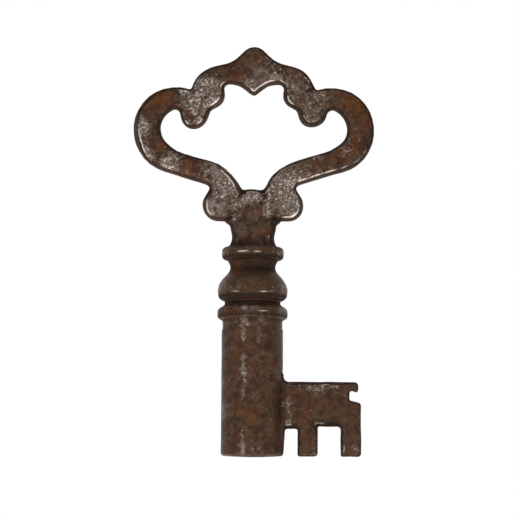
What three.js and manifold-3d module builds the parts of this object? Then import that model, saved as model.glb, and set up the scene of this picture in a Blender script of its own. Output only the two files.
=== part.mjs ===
// A decorative skeleton key: scroll bow, stem with its tongue, three turned collars, pipe barrel and bit.
// Millimetres, +Z up. The key stands upright on the open end of its barrel, whose centre is the origin.
// The bit points to +X and the face that is looked at points to -Y.
import * as THREE from "three";
import { mergeVertices } from "three/addons/utils/BufferGeometryUtils.js";
import Module from "manifold-3d";

const wasm = await Module();
wasm.setup();

// Driving sizes of the bow, the scrolled plate at the top
const bowWidth = 33.4;
const bowThickness = 3.2;
const bowEdgeRadius = 0.8;
const webThickness = 1.4;
const webHeight = 4.25;
const webKeyIn = 0.35;

// Driving sizes of the stem: the tongue let into the bow, the neck and the spindle below it
const tongueHeight = 4.15;
const tongueFootHalfWidth = 2.78;
const tongueShoulderHalfWidth = 1.95;
const tongueShoulderHeight = 2.9;
const tongueShoulderRound = 0.55;
const tongueNoseHalfWidth = 0.92;
const tongueNoseRound = 0.4;
const tongueNoseFillet = 0.25;
const tongueNoseSlope = 0.7;
const tongueSideEdge = 0.15;
const neckHeight = 3.8;
const neckRadius = 2.8;
const neckScotiaRadius = 2.1;
const neckHeadHalfWidth = 3.05;
const neckHeadRound = 1.05;
const neckShoulderFillet = 0.7;
const neckShoulderLip = 0.1;
const neckShoulderRound = 0.95;
const spindleRadius = 2.2;
const spindleSocketDepth = 3.6;

// Driving sizes of the turned collars
const upperCollarRadius = 4.25;
const upperCollarHeight = 1.75;
const upperCollarFootRadius = 3.5;
const upperCollarRound = 0.45;
const balusterRadius = 4.8;
const balusterHeight = 5.6;
const balusterWaistRadius = 3.08;
const balusterFootRadius = 3.95;
const balusterLipRound = 0.7;
const balusterLipSetback = 0.08;
const balusterBellyRadius = 2.3;
const balusterScotiaRadius = 1.2;
const lowerCollarRadius = 4.8;
const lowerCollarHeight = 4.05;
const lowerCollarShoulderRadius = 4.1;
const lowerCollarShoulderHeight = 1.45;
const lowerCollarRimHeight = 1.65;
const lowerCollarRimRound = 0.55;
const rimFillet = 0.15;
const grooveRadius = 3.8;
const grooveRound = 0.5;

// Driving sizes of the barrel, a pipe with a slot for the bit
const barrelRadius = 4.2;
const barrelLength = 17.2;
const boreRadius = 3.0;
const boreDepth = 13.0;
const barrelEndRound = 0.35;
const barrelTopRound = 0.12;

// Driving sizes of the bit, with two notches below and one in its outer edge
const bitReach = 14.9;
const bitHeight = 10.1;
const bitThickness = 2.4;
const bitEdgeRadius = 0.3;
const bitCornerRadius = 0.34;
const bitRootInset = 1.0;
const bitRootProud = 0.1;
const bitRootRise = 1.1;
const bitRootFillet = 0.7;
const bitRootTaper = 0.25;

// Fits and working allowances
const fitClearance = 0.1;
const cutOverrun = 1;

// Facets: the step of an arc in degrees, the steps of a rounded edge and the sides of a turned piece
const outlineStep = 11;
const profileStep = 20;
const edgeSteps = 2;
const turnedSides = 36;
const sectionCornerSteps = 5;
const stemSectionGap = 0.45;
const leastSide = 0.004;

// Heights of the seams, from the open end of the barrel upward
const lowerCollarTop = barrelLength + lowerCollarHeight;
const balusterTop = lowerCollarTop + balusterHeight;
const upperCollarTop = balusterTop + upperCollarHeight;
const bowBase = upperCollarTop + neckHeight;
const tongueShoulderTop = bowBase + tongueShoulderHeight;
const tongueTop = bowBase + tongueHeight;

// The bore of the collars and the barrel's socket, which the spindle fills
const spindleBore = spindleRadius + fitClearance;

// Places of the turned curves along the piece that carries them
const neckWaistShare = 0.36;
const neckHeadShare = 0.76;
const upperCollarRimShare = 0.66;
const balusterBellyShare = 0.24;
const balusterWaistShare = 0.82;
const grooveShare = 0.66;

// The most of a wall or an arc that a rounded edge may take
const edgeLimitShare = 0.9;
const roundSectionShare = 0.98;

// An outline passes round circles joined by their common tangents. BULGE keeps the circle's centre on
// the left of the way round, HOLLOW keeps it on the right. A circle of no radius is a sharp corner.
const BULGE = 1;
const HOLLOW = -1;

// The bow's outer circles, going up the right side: [across, up, radius, way], as shares of half the
// bow's width, measured from the middle of its lower edge. The left side mirrors them.
const bowOuterShares = [
  [0.29, 0.126, 0.126, BULGE], // foil beside the tongue
  [0.398, 0.267, 0.039, HOLLOW], // nick above the foil
  [0.539, 0.868, 0.491, BULGE], // long underside of the wing
  [0.644, 0.757, 0.356, BULGE], // wing
  [0.536, 1.12, 0.027, HOLLOW], // nick between wing and crest
  [0.266, 1.051, 0.248, BULGE], // shoulder of the crest
  [0.3, 1.551, 0.246, HOLLOW], // ogee below the tip
  [0, 1.35, 0.108, BULGE], // tip
];

// The circles of the bow's opening, going up its right side, in the same shares.
const bowOpeningShares = [
  [0.068, 0.2, 0.006, BULGE], // bottom of the crevice beside the tongue's nose
  [0.122, 0.231, 0.048, HOLLOW], // foot of the arm
  [0.476, 0.09, 0.422, HOLLOW], // inner side of the arm
  [0.512, 0.82, 0.269, BULGE], // lower inside of the wing
  [0.599, 0.772, 0.177, BULGE], // inside of the wing
  [0.656, 0.892, 0.045, BULGE], // pocket behind the ball
  [0.491, 0.901, 0.117, HOLLOW], // ball at the end of the wing
  [0.335, 0.913, 0.027, BULGE], // nick between ball and lobe
  [0.356, 1.063, 0.114, HOLLOW], // lobe of the crest
  [0.204, 1.111, 0.045, BULGE], // corner of the arch
  [0.174, 1, 0.156, BULGE], // arch under the crest
  [0, 1.108, 0.036, HOLLOW], // drop in the middle of the crest
];

// The corners of the bit's free part, going round from the notch beside the barrel: [across, up, round],
// as shares of its length outside the barrel, of its height and of the radius of its corners.
const bitCornerShares = [
  [0.189, 0.376, 0.9], // inner notch
  [0.189, 0, 0.7],
  [0.443, 0, 1], // outer notch
  [0.443, 0.406, 0.6],
  [0.745, 0.406, 1.3],
  [0.745, 0, 0.7],
  [1, 0, 1], // outer edge
  [1, 0.718, 1],
  [0.849, 0.752, 0.5], // notch in the outer edge
  [0.849, 0.881, 0.5],
  [0.892, 0.898, 1], // hooked end of the upper lip
  [0.962, 0.859, 0.5],
  [0.962, 1, 1.45],
];

// Points of the outline round a list of circles { x, z, radius, way }. Each has its circle's radius and
// way, and the unit normal that points to the left of the way round. Circles too near each other for a
// common tangent meet on the line through their centres, and a circle that the way only grazes gives a
// single point.
function outlineRound(circles, step) {
  const headings = circles.map((from, i) => {
    const to = circles[(i + 1) % circles.length];
    const distance = Math.hypot(to.x - from.x, to.z - from.z);
    const change = (from.way * from.radius - to.way * to.radius) / distance;
    return Math.atan2(to.z - from.z, to.x - from.x) + Math.asin(THREE.MathUtils.clamp(change, -1, 1));
  });
  const points = [];
  circles.forEach(({ x, z, radius, way }, i) => {
    const start = headings.at(i - 1);
    const quarter = Math.PI / 2;
    const swing = THREE.MathUtils.euclideanModulo((headings[i] - start) * way + quarter, 4 * quarter);
    const turn = Math.max(swing - quarter, 0);
    const steps = radius > 0 ? Math.max(1, Math.round(THREE.MathUtils.radToDeg(turn) / step)) : 0;
    for (let j = 0; j <= steps; j++) {
      const heading = start + (steps > 0 ? (way * turn * j) / steps : 0);
      const normal = new THREE.Vector2(-Math.sin(heading), Math.cos(heading));
      points.push({ x: x - way * radius * normal.x, z: z - way * radius * normal.y, normal, radius, way });
    }
  });
  return points.filter((point, i) => {
    const next = points[(i + 1) % points.length];
    return Math.hypot(next.x - point.x, next.z - point.z) > leastSide;
  });
}

// Circles that round the corners { x, z, radius } of a polygon whose inside is on the left.
function circlesAtCorners(corners) {
  return corners.map((corner, i) => {
    const here = new THREE.Vector2(corner.x, corner.z);
    const before = corners.at(i - 1);
    const after = corners[(i + 1) % corners.length];
    const back = new THREE.Vector2(before.x, before.z).sub(here).normalize();
    const ahead = new THREE.Vector2(after.x, after.z).sub(here).normalize();
    const way = ahead.cross(back) > 0 ? BULGE : HOLLOW;
    const halfAngle = Math.acos(THREE.MathUtils.clamp(back.dot(ahead), -1, 1)) / 2;
    const centre = back.add(ahead).setLength(corner.radius / Math.sin(halfAngle)).add(here);
    return { x: centre.x, z: centre.y, radius: corner.radius, way };
  });
}

// The circles of a table of shares on the right, then the same on the left going down again.
function mirroredCircles(shares, unit, base) {
  const right = shares.map(([across, up, radius, way]) => ({
    x: across * unit,
    z: base + up * unit,
    radius: radius * unit,
    way,
  }));
  const left = right
    .filter((circle) => circle.x > 0)
    .map((circle) => ({ ...circle, x: -circle.x }))
    .reverse();
  return [...right, ...left];
}

// A closed surface from vertices and the triangles between them.
function surface(vertices, triangles) {
  const geometry = new THREE.BufferGeometry();
  geometry.setAttribute("position", new THREE.Float32BufferAttribute(vertices.flat(), 3));
  geometry.setIndex(triangles.flat());
  return geometry;
}

// A plate in the XZ plane, centred on y = 0, whose edges are rounded along its outline and its opening.
// Round a tight corner that stands proud, the rounding takes no more than a share of the corner's radius.
function roundedPlate(outline, opening, thickness, edgeRadius) {
  const layers = [];
  for (let i = 0; i <= edgeSteps; i++) {
    const angle = (i / edgeSteps) * (Math.PI / 2);
    layers.push({
      y: -thickness / 2 + edgeRadius * (1 - Math.sin(angle)),
      inset: edgeRadius * (1 - Math.cos(angle)),
    });
  }
  layers.reverse();
  layers.push(...layers.map(({ y, inset }) => ({ y: -y, inset })).reverse());
  const loops = opening ? [outline, opening] : [outline];
  const vertices = [];
  const triangles = [];
  const starts = [];
  loops.forEach((loop, number) => {
    const side = number === 0 ? 1 : -1;
    starts.push(vertices.length);
    layers.forEach(({ y, inset }) =>
      loop.forEach(({ x, z, normal, radius, way }) => {
        const most = way * side > 0 ? edgeLimitShare * radius : edgeRadius;
        const shift = side * inset * Math.min(1, most / edgeRadius);
        vertices.push([x + shift * normal.x, y, z + shift * normal.y]);
      }),
    );
    for (let layer = 0; layer + 1 < layers.length; layer++) {
      loop.forEach((_, i) => {
        const a = starts[number] + layer * loop.length + i;
        const b = starts[number] + layer * loop.length + ((i + 1) % loop.length);
        const c = a + loop.length;
        const d = b + loop.length;
        triangles.push(...(side > 0 ? [[a, d, b], [a, c, d]] : [[a, b, d], [a, d, c]]));
      });
    }
  });
  const flat = loops.map((loop, number) =>
    loop.map((_, i) => {
      const [x, , z] = vertices[starts[number] + i];
      return new THREE.Vector2(x, z);
    }),
  );
  const indexOf = loops.flatMap((loop, number) => loop.map((_, i) => starts[number] + i));
  const backShift = loops.flatMap((loop) => loop.map(() => (layers.length - 1) * loop.length));
  THREE.ShapeUtils.triangulateShape(flat[0], flat.slice(1)).forEach(([a, b, c]) => {
    triangles.push([indexOf[a], indexOf[b], indexOf[c]]);
    triangles.push([indexOf[a] + backShift[a], indexOf[c] + backShift[c], indexOf[b] + backShift[b]]);
  });
  return surface(vertices, triangles);
}

// A body of revolution about Z from circles in the plane of radius (x) and height (z).
function turned(circles) {
  const outline = outlineRound(circles, profileStep).map(({ x, z }) => new THREE.Vector2(x, z));
  outline.push(outline[0].clone());
  return new THREE.LatheGeometry(outline, turnedSides).rotateX(Math.PI / 2);
}

// A stack of sections { z, width, depth, round }, half sizes of rectangles with round corners.
function lofted(sections) {
  const vertices = [];
  const triangles = [];
  const perSection = 4 * (sectionCornerSteps + 1);
  sections.forEach(({ z, width, depth, round }) => {
    for (let i = 0; i < perSection; i++) {
      const corner = Math.floor(i / (sectionCornerSteps + 1));
      const step = i % (sectionCornerSteps + 1);
      const angle = (Math.PI / 2) * (corner + step / sectionCornerSteps);
      const towardX = corner === 0 || corner === 3 ? 1 : -1;
      const towardY = corner < 2 ? 1 : -1;
      vertices.push([
        towardX * (width - round) + round * Math.cos(angle),
        towardY * (depth - round) + round * Math.sin(angle),
        z,
      ]);
    }
  });
  for (let section = 0; section + 1 < sections.length; section++) {
    for (let i = 0; i < perSection; i++) {
      const a = section * perSection + i;
      const b = section * perSection + ((i + 1) % perSection);
      triangles.push([a, b, b + perSection], [a, b + perSection, a + perSection]);
    }
  }
  const top = (sections.length - 1) * perSection;
  for (let i = 1; i + 1 < perSection; i++) {
    triangles.push([0, i + 1, i], [top, top + i, top + i + 1]);
  }
  return surface(vertices, triangles);
}

// A straight-sided block between two heights along Y whose outline lies in the XZ plane.
function block(outline, front, back) {
  const shape = new THREE.Shape(outline.map(({ x, z }) => new THREE.Vector2(x, z)));
  const geometry = new THREE.ExtrudeGeometry(shape, { depth: back - front, bevelEnabled: false });
  return geometry.rotateX(Math.PI / 2).translate(0, back, 0);
}

// A box from its low and high corners.
function box(low, high) {
  const size = high.map((value, i) => value - low[i]);
  const middle = high.map((value, i) => (value + low[i]) / 2);
  return new THREE.BoxGeometry(...size).translate(...middle);
}

function toSolid(geometry) {
  const bare = geometry.clone();
  bare.deleteAttribute("normal");
  bare.deleteAttribute("uv");
  const merged = mergeVertices(bare);
  return new wasm.Manifold(
    new wasm.Mesh({
      numProp: 3,
      vertProperties: merged.attributes.position.array,
      triVerts: new Uint32Array(merged.index.array),
    }),
  );
}

function toGeometry(solid) {
  const { vertProperties, triVerts } = solid.getMesh();
  const geometry = new THREE.BufferGeometry();
  geometry.setAttribute("position", new THREE.BufferAttribute(vertProperties, 3));
  geometry.setIndex(new THREE.BufferAttribute(triVerts, 1));
  return geometry;
}

// Circles of the tongue's front view, grown all round by a clearance for its socket: its foot, its
// shoulder, and the fillet and the corner of the nose that stands on its shoulders.
function tongueCircles(growth) {
  const right = [
    { x: tongueFootHalfWidth, z: bowBase, radius: growth, way: BULGE },
    {
      x: tongueShoulderHalfWidth - tongueShoulderRound,
      z: tongueShoulderTop - tongueShoulderRound,
      radius: tongueShoulderRound + growth,
      way: BULGE,
    },
    {
      x: tongueNoseHalfWidth + tongueNoseFillet,
      z: tongueShoulderTop + tongueNoseFillet,
      radius: tongueNoseFillet - growth,
      way: HOLLOW,
    },
    {
      x: tongueNoseHalfWidth - tongueNoseRound,
      z: tongueTop - tongueNoseRound,
      radius: tongueNoseRound + growth,
      way: BULGE,
    },
  ];
  const left = right.map((circle) => ({ ...circle, x: -circle.x }));
  return [...right, ...left.reverse()];
}

// Circles of the stem's front view above the upper collar, going up the right side: the foot of the
// neck, its waist, its head, the fillet of its shoulder and the shoulder's tip, then round the tongue.
function stemCircles() {
  const waistRise = Math.min(neckWaistShare * neckHeight, neckScotiaRadius);
  const waistDepth = neckScotiaRadius - Math.sqrt(neckScotiaRadius ** 2 - waistRise ** 2);
  const shoulderTip = neckHeadHalfWidth + neckShoulderFillet;
  const shoulderTop = bowBase - fitClearance;
  const right = [
    { x: neckRadius + waistDepth, z: upperCollarTop, radius: 0, way: BULGE },
    {
      x: neckRadius + neckScotiaRadius,
      z: upperCollarTop + neckWaistShare * neckHeight,
      radius: neckScotiaRadius,
      way: HOLLOW,
    },
    {
      x: neckHeadHalfWidth - neckHeadRound,
      z: upperCollarTop + neckHeadShare * neckHeight,
      radius: neckHeadRound,
      way: BULGE,
    },
    {
      x: shoulderTip,
      z: shoulderTop - neckShoulderLip - neckShoulderFillet,
      radius: neckShoulderFillet,
      way: HOLLOW,
    },
    { x: shoulderTip, z: shoulderTop, radius: 0, way: BULGE },
  ];
  const left = right.map((circle) => ({ ...circle, x: -circle.x }));
  return [...right, ...tongueCircles(0), ...left.reverse()];
}

// An open run of points with more of them put in where they lie further apart than the longest gap.
function subdivided(points, longest) {
  return points.flatMap(({ x, z }, i) => {
    const next = points[Math.min(i + 1, points.length - 1)];
    const parts = Math.max(1, Math.ceil(Math.hypot(next.x - x, next.z - z) / longest));
    return Array.from({ length: parts }, (_, j) => ({
      x: THREE.MathUtils.lerp(x, next.x, j / parts),
      z: THREE.MathUtils.lerp(z, next.z, j / parts),
    }));
  });
}

// The scrolled plate, with a socket for the tongue and a thin web across the socket.
function makeBow() {
  const half = bowWidth / 2;
  const outer = mirroredCircles(bowOuterShares, half, bowBase);
  const opening = mirroredCircles(bowOpeningShares, half, bowBase);
  const plate = toSolid(
    roundedPlate(
      outlineRound(outer, outlineStep),
      outlineRound(opening, outlineStep),
      bowThickness,
      bowEdgeRadius,
    ),
  );
  const socket = outlineRound(tongueCircles(fitClearance), outlineStep);
  const cutFace = bowThickness / 2 + cutOverrun;
  const webHalfWidth = tongueFootHalfWidth + fitClearance + webKeyIn;
  const web = box(
    [-webHalfWidth, -webThickness / 2, bowBase + fitClearance],
    [webHalfWidth, webThickness / 2, bowBase + webHeight],
  );
  return toGeometry(plate.subtract(toSolid(block(socket, -cutFace, cutFace))).add(toSolid(web)));
}

// Spindle, round neck and flat tongue in one piece. The neck turns from round to flat on its way up.
// The tongue is slit to straddle the web of the bow, and its nose slopes back to the web's top.
function makeStem() {
  const spindleEnd = barrelLength - spindleSocketDepth;
  const roundSection = (z, radius) => ({
    z,
    width: radius,
    depth: radius,
    round: radius * roundSectionShare,
  });
  const waist = upperCollarTop + neckWaistShare * neckHeight;
  const neckSection = ({ x, z }) => {
    const flatness = THREE.MathUtils.smoothstep(z, waist, bowBase);
    const depth = THREE.MathUtils.lerp(x, bowThickness / 2, flatness);
    const round = THREE.MathUtils.lerp(Math.min(x, depth), neckShoulderRound, flatness);
    return { z, width: x, depth, round };
  };
  const tongueSection = ({ x, z }) => {
    const narrowing = THREE.MathUtils.smoothstep(z, tongueShoulderTop, tongueTop);
    const belowTop = Math.min(tongueTop - z, tongueNoseSlope);
    const slopeDrop = tongueNoseSlope - Math.sqrt(belowTop * (2 * tongueNoseSlope - belowTop));
    const round = THREE.MathUtils.lerp(tongueSideEdge, tongueNoseRound, narrowing);
    return { z, width: x, depth: bowThickness / 2 - slopeDrop, round };
  };
  const side = outlineRound(stemCircles(), profileStep).filter(({ x }) => x > 0);
  const upper = subdivided(side, stemSectionGap)
    .map((point) => (point.z < bowBase ? neckSection(point) : tongueSection(point)))
    .map(({ z, width, depth, round }) => {
      const most = roundSectionShare * Math.min(width, depth);
      return { z, width, depth, round: Math.min(round, most) };
    });
  const body = lofted([
    roundSection(spindleEnd, spindleRadius),
    roundSection(upperCollarTop, spindleRadius),
    ...upper,
  ]);
  const slitHalf = webThickness / 2 + fitClearance;
  const slit = box(
    [-tongueFootHalfWidth - cutOverrun, -slitHalf, bowBase],
    [tongueFootHalfWidth + cutOverrun, slitHalf, tongueTop + cutOverrun],
  );
  return toGeometry(toSolid(body).subtract(toSolid(slit)));
}

// A rounded ring under the neck.
function makeUpperCollar() {
  const rim = upperCollarRadius - upperCollarRound;
  return turned([
    { x: spindleBore, z: balusterTop, radius: 0, way: BULGE },
    { x: upperCollarFootRadius, z: balusterTop, radius: 0, way: BULGE },
    {
      x: rim,
      z: upperCollarTop - upperCollarRimShare * upperCollarHeight,
      radius: upperCollarRound,
      way: BULGE,
    },
    { x: rim, z: upperCollarTop - upperCollarRound, radius: upperCollarRound, way: BULGE },
    { x: spindleBore, z: upperCollarTop, radius: 0, way: BULGE },
  ]);
}

// A baluster bulb: a lip and belly below, drawn in to a waist above.
function makeBaluster() {
  return turned([
    { x: spindleBore, z: lowerCollarTop, radius: 0, way: BULGE },
    { x: balusterFootRadius, z: lowerCollarTop, radius: 0, way: BULGE },
    {
      x: balusterRadius - balusterLipRound - balusterLipSetback,
      z: lowerCollarTop + balusterLipRound + balusterLipSetback,
      radius: balusterLipRound,
      way: BULGE,
    },
    {
      x: balusterRadius - balusterBellyRadius,
      z: lowerCollarTop + balusterBellyShare * balusterHeight,
      radius: balusterBellyRadius,
      way: BULGE,
    },
    {
      x: balusterWaistRadius + balusterScotiaRadius,
      z: lowerCollarTop + balusterWaistShare * balusterHeight,
      radius: balusterScotiaRadius,
      way: HOLLOW,
    },
    { x: upperCollarFootRadius, z: balusterTop, radius: 0, way: BULGE },
    { x: spindleBore, z: balusterTop, radius: 0, way: BULGE },
  ]);
}

// A plain shoulder, a rounded rim above it, and a groove under the baluster.
function makeLowerCollar() {
  const rimFoot = barrelLength + lowerCollarShoulderHeight;
  const rimTop = rimFoot + lowerCollarRimHeight;
  const rim = lowerCollarRadius - lowerCollarRimRound;
  return turned([
    { x: spindleBore, z: barrelLength, radius: 0, way: BULGE },
    {
      x: lowerCollarShoulderRadius - barrelTopRound,
      z: barrelLength + barrelTopRound,
      radius: barrelTopRound,
      way: BULGE,
    },
    { x: lowerCollarShoulderRadius + rimFillet, z: rimFoot - rimFillet, radius: rimFillet, way: HOLLOW },
    { x: rim, z: rimFoot + lowerCollarRimRound, radius: lowerCollarRimRound, way: BULGE },
    { x: rim, z: rimTop - lowerCollarRimRound, radius: lowerCollarRimRound, way: BULGE },
    {
      x: grooveRadius + grooveRound,
      z: rimTop + grooveShare * (lowerCollarTop - rimTop),
      radius: grooveRound,
      way: HOLLOW,
    },
    { x: balusterFootRadius, z: lowerCollarTop, radius: 0, way: BULGE },
    { x: spindleBore, z: lowerCollarTop, radius: 0, way: BULGE },
  ]);
}

// A pipe with a narrower socket at its top for the spindle, slit from its open end for the bit.
function makeBarrel() {
  const pipe = turned([
    { x: boreRadius, z: 0, radius: 0, way: BULGE },
    { x: barrelRadius - barrelEndRound, z: barrelEndRound, radius: barrelEndRound, way: BULGE },
    {
      x: barrelRadius - barrelTopRound,
      z: barrelLength - barrelTopRound,
      radius: barrelTopRound,
      way: BULGE,
    },
    { x: spindleBore, z: barrelLength, radius: 0, way: BULGE },
    { x: spindleBore, z: boreDepth, radius: 0, way: BULGE },
    { x: boreRadius, z: boreDepth, radius: 0, way: BULGE },
  ]);
  const slitHalf = bitThickness / 2 + fitClearance;
  const slit = box(
    [0, -slitHalf, -cutOverrun],
    [barrelRadius + cutOverrun, slitHalf, bitHeight + bitRootRise + fitClearance],
  );
  return toGeometry(toSolid(pipe).subtract(toSolid(slit)));
}

// The plate that throws the bolt: two teeth between notches, a hooked lip over a notch in its outer
// edge, and a root that fills the slit in the barrel.
function makeBit() {
  const rootInside = barrelRadius - bitRootInset;
  const rootOutside = barrelRadius + bitRootProud;
  const wards = bitCornerShares.map(([across, up, round]) => ({
    x: THREE.MathUtils.lerp(rootOutside, bitReach, across),
    z: up * bitHeight,
    radius: round * bitCornerRadius,
  }));
  const innerNotch = wards[0].z;
  const corners = [
    { x: rootInside, z: 0, radius: bitCornerRadius },
    { x: rootOutside, z: 0, radius: bitCornerRadius },
    { x: rootOutside + bitRootTaper, z: innerNotch, radius: bitCornerRadius },
    ...wards,
    { x: rootOutside, z: bitHeight, radius: bitRootFillet },
    { x: rootOutside, z: bitHeight + bitRootRise, radius: bitCornerRadius },
    { x: rootInside, z: bitHeight + bitRootRise, radius: bitCornerRadius },
  ];
  const outline = outlineRound(circlesAtCorners(corners), profileStep);
  return roundedPlate(outline, null, bitThickness, bitEdgeRadius);
}

// Worn iron: a dark brown patina, rubbed to bare grey metal on what stands proud.
const finishes = {
  bow: { color: 0x5c4a3f, roughness: 0.5, metalness: 0.75 },
  stem: { color: 0x4c3d33, roughness: 0.45, metalness: 0.75 },
  upper_collar: { color: 0x54443a, roughness: 0.45, metalness: 0.75 },
  baluster: { color: 0x50423a, roughness: 0.45, metalness: 0.75 },
  lower_collar: { color: 0x54433a, roughness: 0.45, metalness: 0.75 },
  barrel: { color: 0x564a42, roughness: 0.45, metalness: 0.75 },
  bit: { color: 0x4e4038, roughness: 0.5, metalness: 0.75 },
};

const pieces = {
  bow: makeBow(),
  stem: makeStem(),
  upper_collar: makeUpperCollar(),
  baluster: makeBaluster(),
  lower_collar: makeLowerCollar(),
  barrel: makeBarrel(),
  bit: makeBit(),
};

const key = new THREE.Group();
for (const [name, geometry] of Object.entries(pieces)) {
  const mesh = new THREE.Mesh(geometry, new THREE.MeshStandardMaterial(finishes[name]));
  mesh.name = name;
  key.add(mesh);
}

export default key;
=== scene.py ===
# The looks of a decorative skeleton key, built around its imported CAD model: worn, forged iron with rust.
# The frame is in metres, +Z up. Mesh work here is done in millimetres and scaled down at the end.
import math

import bpy
import numpy as np
from mathutils import Matrix, Vector, noise
from mathutils.geometry import convex_hull_2d
from mathutils.kdtree import KDTree


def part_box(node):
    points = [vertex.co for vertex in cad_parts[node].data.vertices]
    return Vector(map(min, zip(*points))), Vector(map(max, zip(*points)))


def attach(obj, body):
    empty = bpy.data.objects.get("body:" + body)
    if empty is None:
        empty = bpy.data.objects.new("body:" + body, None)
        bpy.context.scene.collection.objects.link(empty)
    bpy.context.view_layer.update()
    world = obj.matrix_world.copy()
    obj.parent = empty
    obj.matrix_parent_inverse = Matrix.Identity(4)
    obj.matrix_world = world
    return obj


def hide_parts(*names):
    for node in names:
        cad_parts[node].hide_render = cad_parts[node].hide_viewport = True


MM = 0.001
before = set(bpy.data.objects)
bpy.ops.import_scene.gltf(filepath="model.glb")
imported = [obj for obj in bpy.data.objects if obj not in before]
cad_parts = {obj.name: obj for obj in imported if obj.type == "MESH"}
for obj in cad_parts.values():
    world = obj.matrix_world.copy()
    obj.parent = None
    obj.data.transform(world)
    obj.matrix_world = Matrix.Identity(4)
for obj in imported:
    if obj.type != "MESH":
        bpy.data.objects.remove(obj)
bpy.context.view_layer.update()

bow_low, bow_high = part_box("bow")
bow_base = bow_low.z / MM  # how high the bow begins
bow_face = bow_high.y / MM  # how far its front lies from its middle plane


def linked(name, data):
    """A new object in the scene."""
    made = bpy.data.objects.new(name, data)
    bpy.context.scene.collection.objects.link(made)
    return made


# The camera looks slightly up at the key, from far enough off for the photograph's flat perspective

VIEW_CENTRE = (0.98, 0, 26.95)  # where the middle of the picture falls on the key's own plane
VIEW_DISTANCE = 330.0
VIEW_RISE = math.radians(7.0)
VIEW_ROLL = math.radians(0.39)
VIEW_HALF_ANGLE = math.radians(6.2)
CLIP_START = 0.01  # in metres
PICTURE_MIDDLE = (1.16, 26.88)  # what the tables of places below call the middle of the picture


def make_camera():
    data = bpy.data.cameras.new("camera")
    data.sensor_fit = "HORIZONTAL"
    data.angle = 2 * VIEW_HALF_ANGLE
    data.clip_start = CLIP_START
    made = linked("camera", data)
    back = Vector((0, -math.cos(VIEW_RISE), -math.sin(VIEW_RISE))) * VIEW_DISTANCE
    place = Matrix.Translation((Vector(VIEW_CENTRE) + back) * MM)
    tilt = Matrix.Rotation(math.pi / 2 + VIEW_RISE, 4, "X")
    made.matrix_world = place @ tilt @ Matrix.Rotation(VIEW_ROLL, 4, "Z")
    bpy.context.scene.camera = made
    return made


camera = make_camera()


def seen(places):
    """Where the camera sees places given in millimetres: their x and z in the tables below."""
    to_camera = np.array(camera.matrix_world.inverted())
    turned = places @ to_camera[:3, :3].T + to_camera[:3, 3] / MM
    nearness = -VIEW_DISTANCE / turned[:, 2]
    return PICTURE_MIDDLE[0] + turned[:, 0] * nearness, PICTURE_MIDDLE[1] + turned[:, 1] * nearness


# Mesh helpers

VOXEL = 0.12  # the grid that the skins are made on
EASING_SHARE = 0.5  # how far one round of easing draws a value towards its neighbours' mean
CLOUD_STEPS = (17.3, -9.1, 5.7)  # how far apart the clouds of two seeds lie, in their own features
CLOUD_FRACTAL = (1, 2, 2)  # how fast finer octaves fade, their step in scale and their number


def arrays(mesh):
    """Vertices in millimetres and the pairs of vertices that edges join."""
    places = np.empty(len(mesh.vertices) * 3)
    mesh.vertices.foreach_get("co", places)
    links = np.empty(len(mesh.edges) * 2, int)
    mesh.edges.foreach_get("vertices", links)
    return places.reshape(-1, 3), links.reshape(-1, 2)


def normals(mesh):
    found = np.empty(len(mesh.vertices) * 3)
    mesh.vertices.foreach_get("normal", found)
    return found.reshape(-1, 3)


def put(mesh, places):
    mesh.vertices.foreach_set("co", places.ravel())
    mesh.update()


def keep(mesh, name, values):
    """Stores one number for each vertex, for the finish to read."""
    layer = mesh.attributes.new(name, "FLOAT", "POINT")
    layer.data.foreach_set("value", np.asarray(values, np.float32))


def neighbour_means(values, links):
    """The mean of the linked vertices' values, column by column."""
    ends = np.concatenate([links[:, 0], links[:, 1]])
    others = np.concatenate([links[:, 1], links[:, 0]])
    count = np.maximum(np.bincount(ends, minlength=len(values)), 1)
    columns = [np.bincount(ends, values[others, i], len(values)) / count for i in range(values.shape[1])]
    return np.stack(columns, 1)


def eased(values, links, rounds):
    """Values drawn towards their neighbours' mean, round after round."""
    for _ in range(rounds):
        values = values + EASING_SHARE * (neighbour_means(values, links) - values)
    return values


def rounds_for(reach):
    """How many rounds of easing spread a value over a distance."""
    return max(1, round(2 * (reach / VOXEL) ** 2))


def cloud(places, size, seed):
    """Fractal noise, about -1 to 1, with features of the given size in millimetres."""
    shift = Vector([seed * step for step in CLOUD_STEPS])
    return np.array([noise.fractal(Vector(p) / size + shift, *CLOUD_FRACTAL) for p in places])


def tree_of(points):
    """A search tree that tells which point lies nearest to a place."""
    tree = KDTree(len(points))
    for i, point in enumerate(points):
        tree.insert(point, i)
    tree.balance()
    return tree


def copy_in_mm(node, grow=0.0):
    """A loose copy of a CAD node's mesh in millimetres, with its faces moved outwards a little."""
    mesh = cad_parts[node].data.copy()
    mesh.transform(Matrix.Scale(1 / MM, 4))
    mesh.materials.clear()
    if grow:
        places, _ = arrays(mesh)
        put(mesh, places + grow * normals(mesh))
    return linked(node + "_copy", mesh)


def lofted(name, rings):
    """A closed solid over rings of as many points each, with its first and last ring filled."""
    count = len(rings[0])
    last = count * (len(rings) - 1)
    faces = [tuple(range(count)), tuple(range(last + count - 1, last - 1, -1))]
    for start in range(0, last, count):
        for i in range(count):
            this, following = start + i, start + (i + 1) % count
            faces.append((this, this + count, following + count, following))
    mesh = bpy.data.meshes.new(name)
    mesh.from_pydata([point for ring in rings for point in ring], [], faces)
    return linked(name, mesh)


def evaluated(obj):
    """The mesh of an object with its modifiers applied."""
    depsgraph = bpy.context.evaluated_depsgraph_get()
    return bpy.data.meshes.new_from_object(obj.evaluated_get(depsgraph))


def drop(obj):
    """Deletes an object and its mesh."""
    mesh = obj.data
    bpy.data.objects.remove(obj)
    bpy.data.meshes.remove(mesh)


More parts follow.
